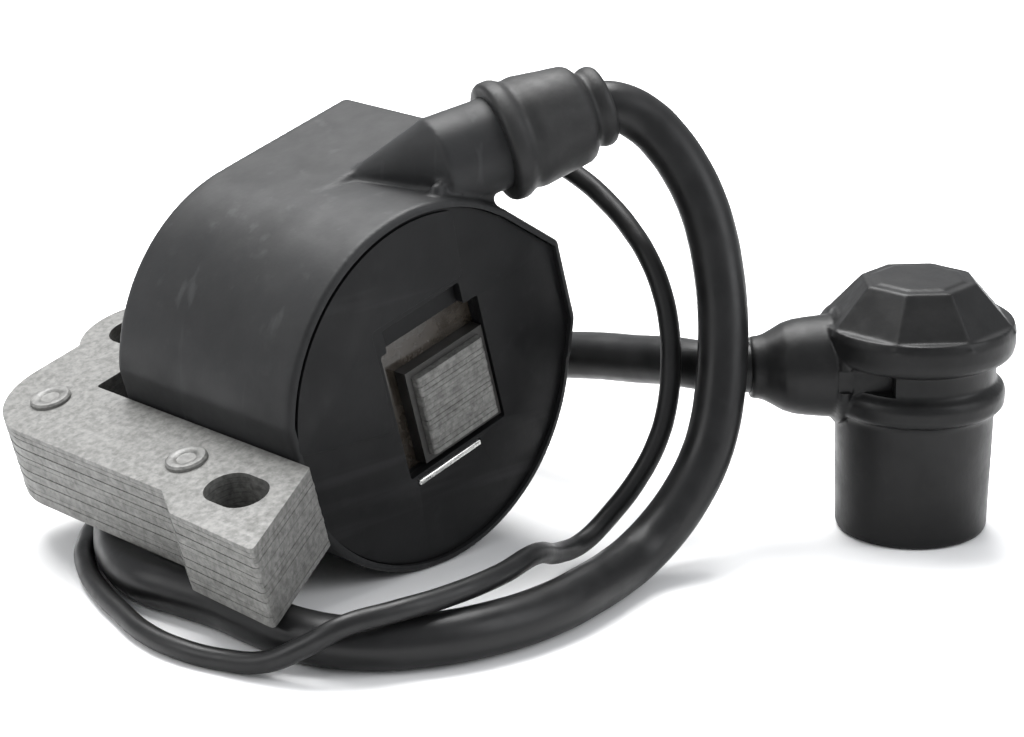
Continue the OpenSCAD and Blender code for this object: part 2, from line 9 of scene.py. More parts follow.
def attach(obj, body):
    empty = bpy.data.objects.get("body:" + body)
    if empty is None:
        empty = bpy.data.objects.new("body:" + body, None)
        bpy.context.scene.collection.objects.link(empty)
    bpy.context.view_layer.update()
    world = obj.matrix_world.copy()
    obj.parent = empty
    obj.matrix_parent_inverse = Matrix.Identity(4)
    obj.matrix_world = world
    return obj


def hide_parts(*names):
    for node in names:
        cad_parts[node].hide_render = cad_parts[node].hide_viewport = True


bl_info = {
    "name": "Ignition coil",
    "version": (1, 0, 0),
    "blender": (4, 5, 0),
    "location": "View3D > Sidebar > Ignition coil",
    "description": "Builds a small-engine ignition coil with its plug lead and cap",
    "category": "Object",
}

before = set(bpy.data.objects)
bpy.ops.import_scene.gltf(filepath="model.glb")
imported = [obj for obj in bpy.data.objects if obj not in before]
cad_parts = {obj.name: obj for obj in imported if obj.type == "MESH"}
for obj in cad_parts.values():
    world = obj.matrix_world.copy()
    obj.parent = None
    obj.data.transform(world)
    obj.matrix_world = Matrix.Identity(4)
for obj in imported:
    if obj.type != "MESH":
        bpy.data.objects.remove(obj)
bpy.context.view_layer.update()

# ---------------------------------------------------------------- placement

MM = 0.001
COIL_AT = Vector((19.55, 7.4814, 19.8392))
LEAN = math.radians(15)
TOWER_AT = Vector((-2.5, 17.1, 24.0))
TOWER_TURN = math.radians(67.6)
CAP_X, CAP_Y = 49.5, 52.2
NECK_Z = 20
NECK_TURN = math.radians(228.7)
EYELET_X, EYELET_Y, EYELET_Z = -7.5, 27, 2.2
EYELET_TURN = math.radians(55)
WIRE_EXIT_X, WIRE_EXIT_Z = -18, 17
STACK_H = 9.975
DRUM_C = (-2.9, 2.6)
DRUM_R = 21.6
DRUM_L = 30.5
BLOCK_FRONT = -13.5
SLOTS = ((-1.5, -31.1), (-41.2, -13.0))
RIVETS = ((-38.4, -28.6), (-11.7, -29.7))
RIVET_HOLE_R = 1.94
PLATE_GAP = 0.045
PLATE_DRIFT = 0.035

ROW = Matrix.Scale(MM, 4)
COIL = ROW @ Matrix.Translation(COIL_AT) @ Matrix.Rotation(LEAN, 4, "X")
ALONG_X = Matrix(((0, 0, 1, 0), (1, 0, 0, 0), (0, 1, 0, 0), (0, 0, 0, 1)))
TOWER = (COIL @ Matrix.Translation(TOWER_AT)
         @ Matrix.Rotation(TOWER_TURN, 4, "Z") @ Matrix.Rotation(math.pi / 2, 4, "Y"))
EXIT = (COIL @ Matrix.Translation((WIRE_EXIT_X, 18.4, WIRE_EXIT_Z))
        @ Matrix.Rotation(-math.pi / 2, 4, "X"))
CAP = ROW @ Matrix.Translation((CAP_X, CAP_Y, 0)) @ Matrix.Rotation(NECK_TURN, 4, "Z")
NECK = CAP @ Matrix.Translation((0, 0, NECK_Z)) @ Matrix.Rotation(math.pi / 2, 4, "Y")
EYELET = (ROW @ Matrix.Translation((EYELET_X, EYELET_Y, EYELET_Z))
          @ Matrix.Rotation(EYELET_TURN, 4, "Z"))
BARREL = EYELET @ Matrix.Rotation(math.pi / 2, 4, "Y")


def tower_at(t):
    """A place on the tower's axis, in the coil's own frame."""
    return TOWER_AT + t * Vector((math.cos(TOWER_TURN), math.sin(TOWER_TURN), 0))


def coil_to_row(p):
    """Takes a place in the coil's own frame to the part's frame, in millimetres."""
    return tuple(c / MM for c in COIL @ Vector(p))


def cap_at(x):
    """A place on the axis of the cap's neck."""
    return (CAP_X + x * math.cos(NECK_TURN), CAP_Y + x * math.sin(NECK_TURN), NECK_Z)


def eyelet_at(x):
    """A place on the axis of the eyelet's barrel."""
    return (EYELET_X + x * math.cos(EYELET_TURN), EYELET_Y + x * math.sin(EYELET_TURN),
            EYELET_Z)


LEAD_ROUTE = [
    coil_to_row(tower_at(-2.95)), coil_to_row(tower_at(6.5)), coil_to_row(tower_at(11.1)),
    (22.8, 30, 49.9), (24.9, 32.2, 48.3), (27.3, 33.2, 46.1), (29.8, 33.8, 43.2),
    (32.1, 34, 39.8), (33.9, 33.8, 36.4), (35.6, 33.2, 32.4), (37.1, 32.3, 28.2),
    (38.3, 31.1, 24), (39.2, 29.7, 19.8), (39.8, 28.1, 15.8), (40, 26.2, 12.4),
    (39.9, 23.6, 9.1), (39.5, 20.4, 6), (39.3, 16.4, 3.7), (40.2, 11.6, 3.05), (41.4, 6, 3),
    (42.1, 0, 2.95), (41.4, -8, 2.95), (38.6, -15.5, 2.95), (34, -21.2, 2.95), (28.2, -24, 2.95),
    (22, -24.5, 2.95), (15.5, -24.5, 2.95), (9.5, -25.3, 2.95), (4, -25.9, 2.95),
    (-2.5, -24.1, 2.95), (-8.5, -20.4, 3.2), (-14, -15.2, 4.8), (-18, -9, 5.4), (-20.8, -2, 4.5),
    (-22.4, 6, 3.2), (-22.2, 15, 3), (-18.8, 24, 4), (-12.6, 31, 7), (-4.5, 35, 11),
    (4, 36.3, 14), (12.2, 36.2, 16.1), (20.6, 35.8, 17.7), (26.6, 35.2, 19), (31.6, 35, 19.7),
    cap_at(20.5), cap_at(15.5), cap_at(7)]
WIRE_ROUTE = [
    coil_to_row((WIRE_EXIT_X, 9.4, WIRE_EXIT_Z)), coil_to_row((WIRE_EXIT_X, 22, WIRE_EXIT_Z)),
    (4.5, 28, 42.7), (9.5, 30.8, 41.7), (14.4, 32.3, 39.6), (19.1, 32.6, 37.1),
    (22.8, 32.2, 34.9), (26.3, 31.5, 32.3), (29, 30.9, 28.9), (30.8, 30.2, 25.2), (32, 29.2, 21),
    (32.8, 27.8, 16.8), (32.8, 26.2, 12.9), (32.1, 23.6, 8.7), (31, 20.3, 5), (30.9, 16.2, 2.9),
    (32.6, 10.4, 3.6), (36.2, 3, 6.6), (38.7, -5, 7.2), (38.9, -13, 7.2), (37.8, -19.4, 7.1),
    (35.5, -24.1, 6.3), (32.6, -27.4, 4), (29.2, -29.6, 2), (24.5, -31.4, 1.27),
    (18.5, -33, 1.27), (12.5, -32.9, 1.27), (6.5, -31.4, 1.27), (0.5, -29.6, 1.27),
    (-5.6, -27, 1.27), (-12, -22.6, 1.27), (-16.9, -16.4, 1.2), (-17.2, -10, 1.2),
    (-15.6, -3, 1.27), (-15.6, 4, 1.27), (-16.4, 10, 1.5),
    eyelet_at(-14), eyelet_at(-7), eyelet_at(4)]


# ---------------------------------------------------------------- outlines

def arc(centre, radius, start, end, count):
    """Points on an arc, angles in degrees, both ends included."""
    turn = math.radians(end - start) / count
    first = math.radians(start)
    return [(centre[0] + radius * math.cos(first + i * turn),
             centre[1] + radius * math.sin(first + i * turn)) for i in range(count + 1)]


def rounded(points, radius, segments=4):
    """A closed outline with each sharp corner rounded by up to that radius."""
    result = []
    for i, here in enumerate(points):
        here = Vector(here)
        a = Vector(points[i - 1]) - here
        b = Vector(points[(i + 1) % len(points)]) - here
        if a.length < 1e-6 or b.length < 1e-6:
            continue
        turn = math.pi - a.angle(b)
        if turn < math.radians(12):
            result.append(tuple(here))
            continue
        reach = min(radius * math.tan(turn / 2), 0.45 * a.length, 0.45 * b.length)
        p, q = here + a.normalized() * reach, here + b.normalized() * reach
        for k in range(segments + 1):
            f = k / segments
            result.append(tuple((1 - f) ** 2 * p + 2 * f * (1 - f) * here + f ** 2 * q))
    return result


def inset(points, distance):
    """Moves each point of an outline towards the drum's middle."""
    middle = Vector(DRUM_C)
    result = []
    for p in points:
        away = Vector(p) - middle
        result.append(tuple(middle + away * (1 - distance / away.length)))
    return result


def slot_outline(centre, width=5.8, length=8.2):
    """A round-ended slot, long along X."""
    run = (length - width) / 2
    return (arc((centre[0] + run, centre[1]), width / 2, -90, 90, 20)
            + arc((centre[0] - run, centre[1]), width / 2, 90, 270, 20))


def circle_outline(centre, radius, count=40):
    return arc(centre, radius, 0, 360, count)[:-1]


def drum_outline(distance=0.0):
    """The drum's (Y, Z) outline: round, with a flat side and a clipped corner."""
    radius = DRUM_R - distance
    flat = -23.65 + distance
    reach = math.degrees(math.acos((flat - DRUM_C[0]) / radius))
    shoulder = inset([(17.9, -4), (19.6, 0), (19.5, 10.2), (12.5, 17.9)], distance)
    high = math.degrees(math.atan2(shoulder[-1][1] - DRUM_C[1], shoulder[-1][0] - DRUM_C[0]))
    low = math.degrees(math.atan2(shoulder[0][1] - DRUM_C[1], shoulder[0][0] - DRUM_C[0]))
    return (arc(DRUM_C, radius, high + 1.5, reach, 60)
            + arc(DRUM_C, radius, 360 - reach, 360 + low - 1.5, 70) + shoulder)


def block_outline():
    """The (Y, Z) outline of the flat-topped block on the drum."""
    return [(-2.9, 4), (-2.9, 24.2), (17.3, 24.2), (19.5, 10.2), (19.6, 0), (12, -3)]


def stack_outline():
    """The U of the core: leg, yoke, outer leg, slanted pole and the far ear."""
    ear = SLOTS[1]
    return (
        [(0, -5.2), (0, 5.2), (-45.9, 5.2), (-45.9, -7.4)]
        + arc(ear, 7.3, 130, 230, 16)[1:-1]
        + [(-45.9, -18.6), (-45.9, -25.2)]
        + arc((-35.9, -25.2), 10, 180, 270, 16)[1:]
        + [(-9.4, -35.2), (-4.8, -37.8), (9.4, -38.2), (2.7, -24.0), (-35.5, -24.0),
           (-35.5, -5.2)])


# ---------------------------------------------------------------- shaping

def ring_edges(bm, points):
    verts = [bm.verts.new((p[0], p[1], 0)) for p in points]
    return [bm.edges.new((verts[i - 1], verts[i])) for i in range(len(verts))]


def add_plate(bm, outer, holes, low, high, place=Matrix.Identity(4)):
    """A flat plate with holes: filled outline, extruded from low to high."""
    before = set(bm.verts)
    edges = []
    for points in [outer] + list(holes):
        edges += ring_edges(bm, points)
    fill = bmesh.ops.triangle_fill(bm, use_beauty=True, use_dissolve=False, edges=edges)
    faces = [g for g in fill["geom"] if isinstance(g, bmesh.types.BMFace)]
    grown = bmesh.ops.extrude_face_region(bm, geom=faces)
    top = [g for g in grown["geom"] if isinstance(g, bmesh.types.BMVert)]
    bmesh.ops.translate(bm, verts=top, vec=(0, 0, high - low))
    new = [v for v in bm.verts if v not in before]
    bmesh.ops.translate(bm, verts=new, vec=(0, 0, low))
    bmesh.ops.transform(bm, matrix=place, verts=new)
    return new


def add_turned(bm, profile, place=Matrix.Identity(4), steps=96):
    """A turned shape from (radius, height) points, spun about Z.

    A profile that stays off the axis makes a ring.
    """
    before = set(bm.verts)
    verts = [bm.verts.new((r, 0, z)) for r, z in profile]
    edges = [bm.edges.new((verts[i], verts[i + 1])) for i in range(len(verts) - 1)]
    if profile[0][0] > 1e-6 or profile[-1][0] > 1e-6:
        edges.append(bm.edges.new((verts[-1], verts[0])))
    bmesh.ops.spin(bm, geom=verts + edges, cent=(0, 0, 0), axis=(0, 0, 1),
                   angle=2 * math.pi, steps=steps, use_merge=True)
    new = [v for v in bm.verts if v not in before]
    bmesh.ops.remove_doubles(bm, verts=new, dist=1e-4)
    new = [v for v in bm.verts if v not in before]
    bmesh.ops.transform(bm, matrix=place, verts=new)


def add_box(bm, low, high, edge=0.0):
    """A box between two corners, its edges rounded when an edge radius is given."""
    made = bmesh.ops.create_cube(bm, size=1)["verts"]
    low, high = Vector(low), Vector(high)
    bmesh.ops.scale(bm, vec=high - low, verts=made)
    bmesh.ops.translate(bm, vec=(low + high) / 2, verts=made)
    if edge:
        edges = list({e for v in made for e in v.link_edges})
        bmesh.ops.bevel(bm, geom=edges, offset=edge, affect="EDGES", segments=3,
                        profile=0.5, material=-1)


def add_hull(bm, points):
    """The closed skin stretched over some points."""
    verts = [bm.verts.new(p) for p in points]
    made = bmesh.ops.convex_hull(bm, input=verts)
    loose = [g for g in made["geom_interior"] if isinstance(g, bmesh.types.BMVert)]
    if loose:
        bmesh.ops.delete(bm, geom=loose, context="VERTS")


def soften(bm, offset, angle=40, segments=3):
    """Rounds every edge sharper than that angle."""
    bmesh.ops.dissolve_limit(bm, angle_limit=math.radians(1), verts=bm.verts, edges=bm.edges)
    sharp = [e for e in bm.edges
             if len(e.link_faces) == 2 and e.calc_face_angle(0) > math.radians(angle)]
    bmesh.ops.bevel(bm, geom=sharp, offset=offset, affect="EDGES", segments=segments,
                    profile=0.5, material=-1, clamp_overlap=True)


def new_object(name, data):
    """An object with that data, linked to the scene."""
    obj = bpy.data.objects.new(name, data)
    bpy.context.scene.collection.objects.link(obj)
    return obj


def mesh_object(name, bm, place=ROW):
    """Turns a finished bmesh into an object, its shape moved to its place."""
    bmesh.ops.recalc_face_normals(bm, faces=bm.faces)
    bmesh.ops.transform(bm, matrix=place, verts=bm.verts)
    mesh = bpy.data.meshes.new(name)
    bm.to_mesh(mesh)
    bm.free()
    return new_object(name, mesh)


def evaluated_mesh(obj):
    """A mesh of an object as its modifiers or its curve's thickness leave it."""
    graph = bpy.context.evaluated_depsgraph_get()
    return bpy.data.meshes.new_from_object(obj.evaluated_get(graph))


def settle(obj):
    """Applies the modifiers and keeps the result as the mesh."""
    mesh = evaluated_mesh(obj)
    obj.modifiers.clear()
    obj.data = mesh
    return obj


def fuse(obj, voxel, rounds):
    """Melts overlapping closed shapes into one skin with small fillets. Voxel in metres."""
    melt = obj.modifiers.new("melt", "REMESH")
    melt.mode = "VOXEL"
    melt.voxel_size = voxel
    ease = obj.modifiers.new("ease", "SMOOTH")
    ease.factor = 0.5
    ease.iterations = rounds
    return settle(obj)


def cut(obj, place, add, *shape):
    """Takes a closed shape, made by that add function, out of a piece."""
    bm = bmesh.new()
    add(bm, *shape)
    tool = mesh_object(obj.name + "_cut", bm, place)
    part = obj.modifiers.new("cut", "BOOLEAN")
    part.operation = "DIFFERENCE"
    part.solver = "EXACT"
    part.object = tool
    settle(obj)
    bpy.data.objects.remove(tool)


def dress(obj, material, body, replaced, angle=32):
    """Shades a finished piece, gives it its material and ties it to its body."""
    obj.data.materials.clear()
    obj.data.materials.append(material)
    if obj.type == "MESH":
        obj.data.shade_smooth()
        obj.data.set_sharp_from_angle(angle=math.radians(angle))
    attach(obj, body)
    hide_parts(*replaced)


# ---------------------------------------------------------------- materials

class Finish:
    """A procedural finish: colours from noise on object coordinates, bump and worn spots."""

    def __init__(self, name, base, rough, metallic=0.0):
        self.material = bpy.data.materials.new(name)
        self.material.use_nodes = True
        self.nodes = self.material.node_tree.nodes
        self.links = self.material.node_tree.links
        self.shader = self.nodes["Principled BSDF"]
        self.shader.inputs["Metallic"].default_value = metallic
        self.shader.inputs["Roughness"].default_value = rough
        self.shader.inputs["Base Color"].default_value = (*base, 1)
        self.coords = self.nodes.new("ShaderNodeTexCoord").outputs["Object"]
        self.colour = None
        self.base = base
        self.height = None

    def mapping(self, scale, turn):
        node = self.nodes.new("ShaderNodeMapping")
        node.inputs["Scale"].default_value = scale
        node.inputs["Rotation"].default_value = [math.radians(a) for a in turn]
        self.links.new(self.coords, node.inputs["Vector"])
        return node.outputs["Vector"]

    def noise(self, scale, detail=4, roughness=0.55, vector=None):
        node = self.nodes.new("ShaderNodeTexNoise")
        node.inputs["Scale"].default_value = scale
        node.inputs["Detail"].default_value = detail
        node.inputs["Roughness"].default_value = roughness
        self.links.new(vector or self.coords, node.inputs["Vector"])
        return node.outputs["Fac"]

    def ramp(self, value, *stops):
        """Colours a value between two stops, each a position and a colour."""
        node = self.nodes.new("ShaderNodeValToRGB")
        for element, (position, colour) in zip(node.color_ramp.elements, stops):
            element.position = position
            element.color = (*colour, 1)
        self.links.new(value, node.inputs["Fac"])
        return node.outputs["Color"]

    def spread(self, value, low, high, start=0.35, end=0.65):
        node = self.nodes.new("ShaderNodeMapRange")
        node.inputs["From Min"].default_value = start
        node.inputs["From Max"].default_value = end
        node.inputs["To Min"].default_value = low
        node.inputs["To Max"].default_value = high
        self.links.new(value, node.inputs["Value"])
        return node.outputs["Result"]

    def mix(self, factor, a, b):
        node = self.nodes.new("ShaderNodeMix")
        node.data_type = "RGBA"
        for value, socket in ((factor, node.inputs[0]), (a, node.inputs[6]), (b, node.inputs[7])):
            if isinstance(value, (int, float)):
                socket.default_value = value
            elif isinstance(value, tuple):
                socket.default_value = (*value, 1)
            else:
                self.links.new(value, socket)
        return node.outputs[2]

    def mottle(self, dark, light, scale, detail=5, start=0.35, end=0.65):
        """Base colour wanders between dark and light."""
        value = self.noise(scale, detail)
        self.colour = self.ramp(value, (start, dark), (end, light))
        return self

    def stain(self, colour, scale, amount, start=0.55, end=0.7):
        """Patches of another colour over the base."""
        value = self.noise(scale, 6, 0.6)
        mask = self.spread(value, 0, amount, start, end)
        self.colour = self.mix(mask, self.colour or self.base, colour)
        return self

    def dust(self, colour, amount, scale=220):
        """Pale dust that settles on what faces up."""
        normal = self.nodes.new("ShaderNodeNewGeometry").outputs["Normal"]
        split = self.nodes.new("ShaderNodeSeparateXYZ")
        self.links.new(normal, split.inputs[0])
        up = self.spread(split.outputs["Z"], 0, 1, 0.2, 1.0)
        speck = self.spread(self.noise(scale, 6, 0.7), 0, amount, 0.4, 0.7)
        both = self.nodes.new("ShaderNodeMath")
        both.operation = "MULTIPLY"
        self.links.new(up, both.inputs[0])
        self.links.new(speck, both.inputs[1])
        self.colour = self.mix(both.outputs[0], self.colour or self.base, colour)
        return self

    def gloss(self, low, high, scale):
        """Roughness wanders between low and high."""
        value = self.spread(self.noise(scale, 4, 0.6), low, high)
        self.links.new(value, self.shader.inputs["Roughness"])
        return self

    def grain(self, scale, strength, distance):
        """Adds a layer of bump."""
        bump = self.nodes.new("ShaderNodeBump")
        bump.inputs["Strength"].default_value = strength
        bump.inputs["Distance"].default_value = distance * MM
        self.links.new(self.noise(scale, 3, 0.6), bump.inputs["Height"])
        if self.height is not None:
            self.links.new(self.height, bump.inputs["Normal"])
        self.height = bump.outputs["Normal"]
        return self

    def scratches(self, colour, amount, scale=(400, 400, 12), turn=(0, 35, 20)):
        """Fine long marks."""
        lines = self.mapping(scale, turn)
        value = self.noise(1.0, 3, 0.5, lines)
        mask = self.spread(value, 0, amount, 0.62, 0.72)
        self.colour = self.mix(mask, self.colour or self.base, colour)
        return self

    def level(self, value):
        """How strongly the surface mirrors the light."""
        self.shader.inputs["Specular IOR Level"].default_value = value
        return self

    def done(self):
        if self.colour is not None:
            self.links.new(self.colour, self.shader.inputs["Base Color"])
        if self.height is not None:
            self.links.new(self.height, self.shader.inputs["Normal"])
        return self.material


MATERIALS = {}


def make_materials(looks):
    """Every finish on the object, by name."""
    tone = looks.housing_tone
    m = MATERIALS
    m["housing"] = (Finish("moulded_housing", (0.012, 0.0122, 0.0128), 0.5)
                    .mottle((0.009 * tone, 0.0092 * tone, 0.0096 * tone),
                            (0.015 * tone, 0.0153 * tone, 0.016 * tone), 60)
                    .stain((0.028, 0.0285, 0.029), 300, 0.3, 0.6, 0.75)
                    .scratches((0.05, 0.051, 0.052), 0.3)
                    .dust((0.07, 0.07, 0.066), 0.12)
                    .gloss(0.44, 0.58, 180).grain(1900, 0.25, 0.04).grain(120, 0.1, 0.1)
                    .level(0.2).done())
    m["cover"] = (Finish("moulded_cover", (0.005, 0.0052, 0.0055), 0.48)
                  .mottle((0.004, 0.0041, 0.0044), (0.007, 0.0072, 0.0076), 80)
                  .stain((0.016, 0.016, 0.017), 350, 0.3, 0.6, 0.75)
                  .scratches((0.035, 0.035, 0.037), 0.22, (300, 20, 300), (10, 0, 30))
                  .gloss(0.38, 0.54, 200).grain(2200, 0.25, 0.04).grain(150, 0.12, 0.08)
                  .level(0.16).done())
    m["bobbin"] = (Finish("moulded_bobbin", (0.012, 0.0115, 0.011), 0.55)
                   .mottle((0.009, 0.0085, 0.008), (0.018, 0.017, 0.015), 300)
                   .gloss(0.4, 0.6, 300).grain(1500, 0.3, 0.05).done())
    m["stack"] = (Finish("varnished_steel", (0.12, 0.119, 0.112), 0.6, 0.1)
                  .mottle((0.075, 0.0745, 0.07), (0.145, 0.144, 0.137), 1300, 8, 0.35, 0.65)
                  .stain((0.05, 0.0495, 0.047), 1900, 0.45, 0.54, 0.68)
                  .stain((0.21, 0.209, 0.2), 1500, 0.4, 0.56, 0.7)
                  .scratches((0.22, 0.219, 0.212), 0.22, (60, 900, 900), (0, 0, 10))
                  .gloss(0.46, 0.66, 500).grain(1600, 0.5, 0.05).grain(500, 0.3, 0.08)
                  .done())
    m["rivet"] = (Finish("pressed_rivet", (0.12, 0.119, 0.112), 0.6, 0.1)
                  .mottle((0.08, 0.0795, 0.075), (0.15, 0.149, 0.142), 1200, 6)
                  .stain((0.055, 0.0545, 0.052), 1600, 0.45)
                  .gloss(0.35, 0.55, 600).grain(1800, 0.4, 0.05).grain(500, 0.4, 0.1).done())
    m["strip"] = (Finish("spring_strip", (0.75, 0.75, 0.73), 0.3, 0.9)
                  .mottle((0.6, 0.6, 0.58), (0.85, 0.85, 0.83), 800)
                  .gloss(0.22, 0.4, 900).grain(2500, 0.3, 0.02).done())
    m["rubber"] = (Finish("moulded_rubber", (0.009, 0.009, 0.0092), 0.55)
                   .mottle((0.006, 0.006, 0.0062), (0.012, 0.012, 0.0122), 150)
                   .stain((0.03, 0.03, 0.029), 500, 0.28, 0.6, 0.78)
                   .dust((0.07, 0.069, 0.065), 0.14, 400)
                   .gloss(0.44, 0.6, 260).level(0.25).grain(1400, 0.35, 0.05).grain(200, 0.25, 0.12)
                   .done())
    m["cap"] = (Finish("cap_rubber", (0.0045, 0.0045, 0.0047), 0.46)
                .mottle((0.0035, 0.0035, 0.0036), (0.006, 0.006, 0.0062), 140)
                .stain((0.018, 0.018, 0.0175), 420, 0.25, 0.6, 0.78)
                .dust((0.045, 0.044, 0.042), 0.12, 350)
                .gloss(0.34, 0.5, 220).level(0.2).grain(1300, 0.3, 0.05).grain(160, 0.25, 0.15)
                .done())
    m["lead"] = (Finish("lead_jacket", (0.006, 0.006, 0.0062), 0.42)
                 .mottle((0.0045, 0.0045, 0.0047), (0.008, 0.008, 0.0083), 120)
                 .stain((0.022, 0.022, 0.0215), 600, 0.2, 0.6, 0.78)
                 .gloss(0.32, 0.46, 240).level(0.25).grain(1100, 0.15, 0.04).grain(110, 0.2, 0.15)
                 .done())
    m["wire"] = (Finish("wire_jacket", (0.006, 0.006, 0.0062), 0.42)
                 .mottle((0.0045, 0.0045, 0.0047), (0.008, 0.008, 0.0083), 200)
                 .gloss(0.34, 0.48, 300).level(0.28).grain(1300, 0.2, 0.04).done())
    m["sleeving"] = (Finish("sleeving", (0.02, 0.02, 0.022), 0.3)
                     .mottle((0.014, 0.014, 0.016), (0.028, 0.028, 0.03), 300)
                     .gloss(0.22, 0.4, 300).grain(900, 0.25, 0.05).done())
    m["copper"] = (Finish("enamelled_copper", (0.5, 0.2, 0.08), 0.3, 0.9)
                   .mottle((0.4, 0.14, 0.05), (0.6, 0.26, 0.11), 500)
                   .gloss(0.2, 0.4, 600).grain(2600, 0.6, 0.05).done())
    m["fine_copper"] = (Finish("fine_copper", (0.42, 0.16, 0.06), 0.35, 0.85)
                        .mottle((0.32, 0.1, 0.04), (0.5, 0.2, 0.08), 700)
                        .gloss(0.25, 0.45, 800).grain(4000, 0.6, 0.03).done())
    m["paper"] = (Finish("varnished_paper", (0.6, 0.46, 0.24), 0.5)
                  .mottle((0.5, 0.36, 0.17), (0.68, 0.54, 0.3), 350)
                  .gloss(0.35, 0.6, 400).grain(1500, 0.3, 0.04).done())
    m["pale_bobbin"] = (Finish("pale_bobbin", (0.66, 0.61, 0.47), 0.45)
                        .mottle((0.58, 0.53, 0.4), (0.72, 0.67, 0.53), 250)
                        .gloss(0.35, 0.55, 300).grain(1500, 0.2, 0.04).done())
    m["resin"] = (Finish("cast_resin", (0.02, 0.016, 0.012), 0.2)
                  .mottle((0.014, 0.011, 0.008), (0.03, 0.024, 0.018), 200)
                  .gloss(0.12, 0.3, 200).grain(400, 0.2, 0.08).done())
    m["brass"] = (Finish("bright_brass", (0.7, 0.5, 0.2), 0.28, 1.0)
                  .mottle((0.58, 0.4, 0.14), (0.78, 0.58, 0.26), 500)
                  .stain((0.35, 0.22, 0.08), 800, 0.4)
                  .gloss(0.2, 0.4, 600).grain(2200, 0.3, 0.03).done())
    m["tin"] = (Finish("tinned_copper", (0.68, 0.66, 0.62), 0.3, 1.0)
                .mottle((0.55, 0.53, 0.5), (0.78, 0.76, 0.72), 700)
                .stain((0.4, 0.38, 0.35), 900, 0.4)
                .gloss(0.22, 0.42, 700).grain(2200, 0.35, 0.03).done())
    m["spring"] = (Finish("plated_spring", (0.62, 0.62, 0.6), 0.25, 1.0)
                   .mottle((0.5, 0.5, 0.48), (0.7, 0.7, 0.68), 900)
                   .gloss(0.18, 0.35, 800).grain(2400, 0.3, 0.02).done())


# ---------------------------------------------------------------- pieces

def cord_curve(name, route, radius):
    """A round cord along its route points, as one smooth open curve."""
    curve = bpy.data.curves.new(name, "CURVE")
    curve.dimensions = "3D"
    curve.resolution_u = 8
    curve.bevel_depth = radius * MM
    curve.bevel_resolution = 8
    curve.use_fill_caps = True
    spline = curve.splines.new("BEZIER")
    spline.bezier_points.add(len(route) - 1)
    for point, place in zip(spline.bezier_points, route):
        point.co = [c * MM for c in place]
        point.handle_left_type = point.handle_right_type = "AUTO"
    return new_object(name, curve)


def route_length(obj):
    """Length along a curve's centreline, in metres."""
    plain = obj.data.copy()
    plain.bevel_depth = 0
    probe = new_object("probe", plain)
    mesh = evaluated_mesh(probe)
    total = sum((mesh.vertices[e.vertices[0]].co - mesh.vertices[e.vertices[1]].co).length
                for e in mesh.edges)
    bpy.data.objects.remove(probe)
    return total


def build_cords(looks):
    lead = cord_curve("plug_lead", LEAD_ROUTE, looks.lead_diameter / MM / 2)
    dress(lead, MATERIALS["lead"], "coil", ["ht_lead"])
    route_length(lead)
    wire = cord_curve("primary_wire_jacket", WIRE_ROUTE, looks.wire_diameter / MM / 2)
    dress(wire, MATERIALS["wire"], "coil", ["primary_wire"])
    route_length(wire)


def build_stack(looks):
    bm = bmesh.new()
    holes = [slot_outline(centre) for centre in SLOTS]
    holes += [circle_outline(centre, RIVET_HOLE_R, 24) for centre in RIVETS]
    count = looks.lamination_count
    pitch = (STACK_H + PLATE_GAP) / count
    outline = rounded(stack_outline(), 0.5, 3)
    for i in range(count):
        low = -STACK_H / 2 + i * pitch
        new = add_plate(bm, outline, holes, low, low + pitch - PLATE_GAP)
        if 0 < i < count - 1:
            drift = (PLATE_DRIFT * math.sin(5.3 * i), PLATE_DRIFT * math.cos(3.7 * i), 0)
            bmesh.ops.translate(bm, verts=new, vec=drift)
    dress(mesh_object("core_laminations", bm, COIL), MATERIALS["stack"], "coil",
          ["lamination_stack"])

    bm = bmesh.new()
    head = [(0, 0.28), (1.1, 0.3), (1.35, 0.48), (1.75, 0.58), (2.2, 0.52), (2.42, 0.3),
            (2.45, 0.02), (1.9, 0.02)]
    half = [(r, STACK_H / 2 + rise) for r, rise in head]
    profile = half + [(r, -z) for r, z in reversed(half)]
    for x, y in RIVETS:
        add_turned(bm, profile, Matrix.Translation((x, y, 0)), 64)
    dress(mesh_object("core_rivet_heads", bm, COIL), MATERIALS["rivet"], "coil",
          ["core_rivets"])

    bm = bmesh.new()
    add_box(bm, (-2.4, -8.0, -7.62), (-0.36, 1.8, -6.97), edge=0.12)
    dress(mesh_object("core_strip", bm, COIL), MATERIALS["strip"], "coil",
          ["core_wedge"])


